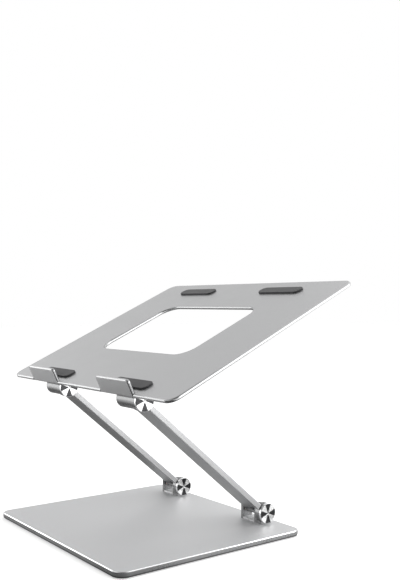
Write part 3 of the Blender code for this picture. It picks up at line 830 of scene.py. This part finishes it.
def hinge_meshes(slot_outline):
    """The pieces of one hinge about its own axis, measured from the lower left one."""
    def reach(part):
        """Low and high X of a part from its arm's centre line, and its radius."""
        low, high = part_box(f"lower_{part}_left")
        return low.x - SIDES["left"], high.x - SIDES["left"], (high.z - low.z) / 2

    bracket_low, bracket_high, _ = reach("bracket")
    pin_low, pin_high, _ = reach("pin")
    washers = {name: reach(name) for name in ("ear_washer", "boss_washer")}
    nut_low, nut_high, nut_radius = reach("lock_nut")
    meshes = {
        "bracket": (bracket_mesh(bracket_low, bracket_high, slot_outline), "bracket", "anodised_aluminium"),
        "pin": (pin_mesh(pin_low, pin_high, bracket_low - GLUE), "steel", "steel"),
        "spring_washer": (spring_mesh(*reach("spring_washer")), "steel", "steel"),
        "lock_nut": (nut_mesh(nut_low, nut_high, nut_radius * 2 / math.sqrt(3)), "steel", "steel"),
        "cap": (cap_mesh(*reach("cap")), "cap", "polished_aluminium"),
    }
    for name, (low, high, radius) in washers.items():
        ring = turned(ring_profile(low, high, PIN_HOLE, radius, WASHER_EDGE), hollow=True)
        meshes[name] = (ring, "nylon", "nylon")
    return {part: (settle_shading(mesh), look, slot) for part, (mesh, look, slot) in meshes.items()}


def build_hinges(looks):
    """All four hinges: the upper ones are turned over and hang from the tray, but every cap is upright."""
    slots = {"lower": open_slot(), "upper": hooded_slot()}
    plates = {"lower": BASE_HIGH.z - BASE_LOW.z, "upper": TRAY_THICKNESS}
    for level, (body, axis, turn) in HINGES.items():
        meshes = hinge_meshes(slots[level])
        screw = settle_shading(screw_mesh(plates[level] + SCREW_BITE))
        for side, x in SIDES.items():
            place = Matrix.Translation((x, axis.y, axis.z)) @ Matrix.Rotation(turn, 4, "X")
            for part, (mesh, look, slot) in meshes.items():
                stand = Matrix.Translation(place.translation) if part == "cap" else place
                piece(f"{level}_{side}_{part}", mesh, looks[look], body,
                      f"{level}_{part}_{side}", stand)
            for name, offset in SCREW_OFFSETS.items():
                head = place @ Matrix.Translation((offset, 0, -AXIS_HEIGHT - plates[level]))
                piece(f"{level}_{side}_screw_{name}", screw, looks["steel"], body,
                      f"{level}_screw_{name}_{side}", head)


# Arms

def arm_mesh():
    """Flat bar from the lower axis towards -Y, with bright chamfers and a round knuckle at each end."""
    low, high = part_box("arm_left")
    half_width = (high.x - low.x) / 2
    half = ARM_HALF_THICKNESS
    bar = extrusion([(-BAR_START, half), (-ARM_LENGTH + BAR_START, half),
                     (-ARM_LENGTH + BAR_START, -half), (-BAR_START, -half)], -half_width, half_width)
    bar = chamfer(bar, ARM_CHAMFER)
    meet = math.asin(half / KNUCKLE_RADIUS)
    near = arc((0, 0), KNUCKLE_RADIUS, -math.pi + meet, math.pi - meet, ROUND_STEPS)
    far = arc((-ARM_LENGTH, 0), KNUCKLE_RADIUS, meet, math.tau - meet, ROUND_STEPS)
    tongue = extrusion(near + far, EAR_INNER + KNUCKLE_PLAY, BOSS_INNER - KNUCKLE_PLAY)
    bores = [moved(turned([(-half_width, PIN_HOLE), (half_width, PIN_HOLE)], steps=SMALL_STEPS), (0, y, 0))
             for y in (0, -ARM_LENGTH)]
    return combine(combine(bar, [tongue], "UNION"), bores, "DIFFERENCE")


def build_arms(looks):
    """Both arms, from one mesh about the lower axis."""
    arm = settle_shading(arm_mesh())
    for side, x in SIDES.items():
        place = Matrix.Translation((x, LOWER_AXIS.y, LOWER_AXIS.z)) @ Matrix.Rotation(-ARM_RISE, 4, "X")
        piece(f"{side}_arm", arm, looks["arm"], "arms", f"arm_{side}", place)


# Tray

def tray_outline():
    """Flat part of the tray, with a relief cut on each side of both hooks."""
    half = (TRAY_HIGH.x - TRAY_LOW.x) / 2
    left, right = -half + TRAY_CORNER, half - TRAY_CORNER
    front, rear = TRAY_FRONT + TRAY_CORNER, TRAY_REAR - TRAY_CORNER
    points = arc((left, front), TRAY_CORNER, math.pi, 1.5 * math.pi, CORNER_STEPS)
    for centre in HOOKS.values():
        low, high = centre - HOOK_WIDTH / 2, centre + HOOK_WIDTH / 2
        points += [(low - RELIEF_WIDTH, TRAY_FRONT), (low - RELIEF_WIDTH, RELIEF_END), (low, RELIEF_END),
                   (low, BEND_LINE), (high, BEND_LINE), (high, RELIEF_END),
                   (high + RELIEF_WIDTH, RELIEF_END), (high + RELIEF_WIDTH, TRAY_FRONT)]
    points += arc((right, front), TRAY_CORNER, 1.5 * math.pi, 2 * math.pi, CORNER_STEPS)
    points += arc((right, rear), TRAY_CORNER, 0, math.pi / 2, CORNER_STEPS)
    points += arc((left, rear), TRAY_CORNER, math.pi / 2, math.pi, CORNER_STEPS)
    return points


def hook_sections():
    """Stations up one hook, each (inner y, inner z, outer y, outer z, half width)."""
    half = HOOK_WIDTH / 2
    inner_centre = (BEND_LINE, TRAY_TOP + BEND_INNER)
    outer_centre = (TRAY_FRONT + BEND_OUTER, AXIS_HEIGHT + BEND_OUTER)
    inner_bend = arc(inner_centre, BEND_INNER, 1.5 * math.pi, math.pi, BEND_STEPS)
    outer_bend = arc(outer_centre, BEND_OUTER, 1.5 * math.pi, math.pi, BEND_STEPS)
    sections = [(*inner, *outer, half) for inner, outer in zip(inner_bend[1:], outer_bend[1:])]
    for width, z in arc((half - HOOK_CORNER, HOOK_TOP - HOOK_CORNER), HOOK_CORNER, 0, math.pi / 2,
                        BEND_STEPS):
        sections.append((HOOK_INNER, z, TRAY_FRONT, z, width))
    return sections


def bend_hook(build, centre):
    """Extrude the tray's edge at one hook round the bend and up to the hook's round-cornered top."""
    target = Vector((centre, BEND_LINE, AXIS_HEIGHT + TRAY_THICKNESS / 2))
    face = min(build.faces, key=lambda item: (item.calc_center_median() - target).length)
    for inner_y, inner_z, outer_y, outer_z, half in hook_sections():
        face = bmesh.ops.extrude_discrete_faces(build, faces=[face])["faces"][0]
        corners = sorted(face.verts, key=lambda vert: vert.co.y + vert.co.z, reverse=True)
        for corner, (y, z) in zip(corners, 2 * [(inner_y, inner_z)] + 2 * [(outer_y, outer_z)]):
            corner.co = (centre + math.copysign(half, corner.co.x - centre), y, z)


def tray_cutters():
    """Vent opening and the countersunk holes of the upper brackets' screws."""
    vent = rounded_plate(VENT_WIDTH, VENT_REAR - VENT_FRONT, VENT_CORNER, [(0, 0), (0, TRAY_TOP * 2)])
    cutters = [moved(vent, (0, (VENT_FRONT + VENT_REAR) / 2, 0))]
    for side in SIDES.values():
        for offset in SCREW_OFFSETS.values():
            hole = transformed(screw_hole(0, 0, TRAY_THICKNESS), Matrix.Rotation(math.pi, 4, "X"))
            cutters.append(moved(hole, (side + offset, 0, TRAY_TOP)))
    return cutters


def is_tray_rim(edge):
    """Whether an edge is on the rim of the tray or of a hook, and not inside a relief cut."""
    middle = (edge.verts[0].co + edge.verts[1].co) / 2
    beside = min(abs(middle.x - centre) - HOOK_WIDTH / 2 for centre in HOOKS.values())
    on_outer_wall = GLUE < beside < RELIEF_WIDTH + GLUE and middle.z < TRAY_TOP + GLUE
    in_bend = middle.y > HOOK_INNER and TRAY_TOP - GLUE < middle.z < TRAY_TOP + BEND_INNER
    on_inner_wall = abs(beside) < GLUE and (middle.y > BEND_LINE or in_bend)
    return not (on_outer_wall or on_inner_wall) or middle.y > RELIEF_END + GLUE


def is_vent_rim(edge):
    """Whether an edge is on the rim of the vent opening."""
    return all(abs(vert.co.x) < VENT_WIDTH / 2 + GLUE
               and VENT_FRONT - GLUE < vert.co.y < VENT_REAR + GLUE for vert in edge.verts)


def tray_mesh():
    """Bent sheet about the upper axis: plate, hooks, vent and screw holes, with rounded polished rims."""
    mesh = loft([[(x, y, z) for x, y in tray_outline()] for z in (AXIS_HEIGHT, TRAY_TOP)])
    build = bmesh.new()
    build.from_mesh(mesh)
    for centre in HOOKS.values():
        bend_hook(build, centre)
    bmesh.ops.recalc_face_normals(build, faces=build.faces)
    build.to_mesh(mesh)
    build.free()
    mesh = chamfer(mesh, TRAY_ROUNDING, is_tray_rim, TRAY_ROUNDING_STEPS)
    mesh = combine(mesh, tray_cutters(), "DIFFERENCE")
    return chamfer(mesh, TRAY_ROUNDING, is_vent_rim, TRAY_ROUNDING_STEPS)


def hook_pad_mesh():
    """Silicone strip behind a hook, facing +Y, with soft edges and upright ribs."""
    height = HOOK_PAD_HIGH - HOOK_PAD_LOW
    levels = edge_levels(GLUE, HOOK_PAD_TOP, PAD_EDGE, low_edge=False)
    pad = rounded_plate(HOOK_PAD_WIDTH, height, HOOK_CORNER / 2, levels)
    grooves = []
    for row in range(HOOK_PAD_RIBS - 1):
        y = (row - (HOOK_PAD_RIBS - 2) / 2) * height / HOOK_PAD_RIBS
        groove = rounded_plate(HOOK_PAD_WIDTH - HOOK_CORNER * 2, FOOT_GROOVE_WIDTH / 2, GROOVE_CORNER / 2,
                               [(0, HOOK_PAD_TOP - FOOT_GROOVE_DEPTH), (0, HOOK_PAD_TOP * 2)])
        grooves.append(moved(groove, (0, y, 0)))
    return transformed(combine(pad, grooves, "DIFFERENCE"), Matrix.Rotation(-math.pi / 2, 4, "X"))


def build_tray(looks):
    """Tray with its four pads and the two pads behind the hooks."""
    axis = Matrix.Translation((0, UPPER_AXIS.y, UPPER_AXIS.z))
    tilt = Matrix.Rotation(TRAY_TILT_AT_REST, 4, "X")
    tray = axis @ tilt
    sheet = settle_shading(transformed(tray_mesh(), tilt))
    piece("bent_tray", sheet, looks["tray"], "tray", "tray_plate", axis)
    pad = settle_shading(rounded_plate(PAD_LENGTH, PAD_WIDTH, PAD_CORNER,
                                       edge_levels(GLUE, PAD_TOP, PAD_EDGE, low_edge=False)))
    hook_pad = settle_shading(hook_pad_mesh())
    for side, x in SIDES.items():
        for row, y in PAD_PLACES.items():
            place = tray @ Matrix.Translation((x, y, TRAY_TOP))
            piece(f"soft_tray_pad_{row}_{side}", pad, looks["silicone"], "tray",
                  f"tray_pad_{row}_{side}", place)
        place = tray @ Matrix.Translation((HOOKS[side], HOOK_INNER, (HOOK_PAD_LOW + HOOK_PAD_HIGH) / 2))
        piece(f"soft_hook_pad_{side}", hook_pad, looks["silicone"], "tray",
              f"hook_pad_{side}", place)


# Studio

def build_floor():
    """Plain floor: white to the camera, and grey in the metal, as in a dim studio."""
    half = FLOOR_SIZE / 2
    mesh = bpy.data.meshes.new("floor")
    mesh.from_pydata([(-half, -half, 0), (half, -half, 0), (half, half, 0), (-half, half, 0)], [],
                     [(0, 1, 2, 3)])
    floor = bpy.data.objects.new("floor", mesh)
    bpy.context.scene.collection.objects.link(floor)
    paint = Shader("floor_paint", Roughness=0.9, Specular_IOR_Level=0.1, Emission_Color=(1, 1, 1, 1))
    seen = paint.add("ShaderNodeLightPath").outputs["Is Camera Ray"]
    ahead = paint.fade(paint.place, *FLOOR_AHEAD)
    towards_camera = paint.fade(paint.place, *FLOOR_TOWARDS_CAMERA)
    behind_right = paint.fade(paint.place, *FLOOR_BEHIND_RIGHT)
    in_metal = paint.maths("MAXIMUM", paint.maths("MULTIPLY", ahead, towards_camera), behind_right)
    colour = paint.mix(seen, in_metal, FLOOR_SEEN)
    glow = paint.maths("MULTIPLY", seen, FLOOR_GLOW)
    mesh.materials.append(paint.drive(Base_Color=colour, Emission_Strength=glow))
    floor.location.z = -GLUE


def softbox(name, place, size, power):
    """Square area light that faces the stand, unseen by the camera."""
    light = bpy.data.lights.new(name, "AREA")
    light.shape = "SQUARE"
    light.size = size
    light.energy = power
    made = bpy.data.objects.new(name, light)
    bpy.context.scene.collection.objects.link(made)
    made.location = place
    made.rotation_euler = (Vector(LIGHT_AIM) - Vector(place)).to_track_quat("-Z", "Y").to_euler()
    made.visible_camera = False


def build_world():
    """Room that is darker overhead and above the camera in reflections, and plain white to the camera."""
    world = bpy.data.worlds.new("studio")
    bpy.context.scene.world = world
    world.use_nodes = True
    nodes = Nodes(world.node_tree)
    direction = nodes.add("ShaderNodeTexCoord").outputs["Generated"]
    tones = nodes.add("ShaderNodeValToRGB", {"Fac": nodes.along(direction, (0, 0, 1))})
    while len(tones.color_ramp.elements) < len(ROOM_TONES):
        tones.color_ramp.elements.new(1.0)
    for stop, (height, tone) in zip(tones.color_ramp.elements, ROOM_TONES):
        stop.position = height
        stop.color = (tone, tone, tone, 1.0)
    room = nodes.maths("MULTIPLY", tones.outputs["Color"], nodes.fade(direction, *DARK_CARD))
    seen = nodes.add("ShaderNodeLightPath").outputs["Is Camera Ray"]
    background = world.node_tree.nodes["Background"]
    background.inputs["Color"].default_value = (1.0, 1.0, 1.0, 1.0)
    world.node_tree.links.new(nodes.maths("MAXIMUM", room, seen), background.inputs["Strength"])


def build_camera():
    """Camera at the height of the tray, in front of the stand and to its right."""
    camera = bpy.data.cameras.new("camera")
    camera.lens = CAMERA_LENS
    camera.clip_start = 0.01
    made = bpy.data.objects.new("camera", camera)
    bpy.context.scene.collection.objects.link(made)
    made.location = CAMERA_PLACE
    made.rotation_euler = (math.pi / 2 + CAMERA_PITCH, 0, CAMERA_AZIMUTH)
    bpy.context.scene.camera = made


def build_studio():
    """Floor, lights and camera, with colours shown as they are."""
    build_floor()
    for name, (place, size, power) in SOFTBOXES.items():
        softbox(name, place, size, power)
    build_world()
    build_camera()
    bpy.context.scene.view_settings.view_transform = "Standard"


def main():
    """Build the stand and the studio around it."""
    looks = make_looks()
    build_base(looks)
    build_hinges(looks)
    build_arms(looks)
    build_tray(looks)
    build_studio()


main()
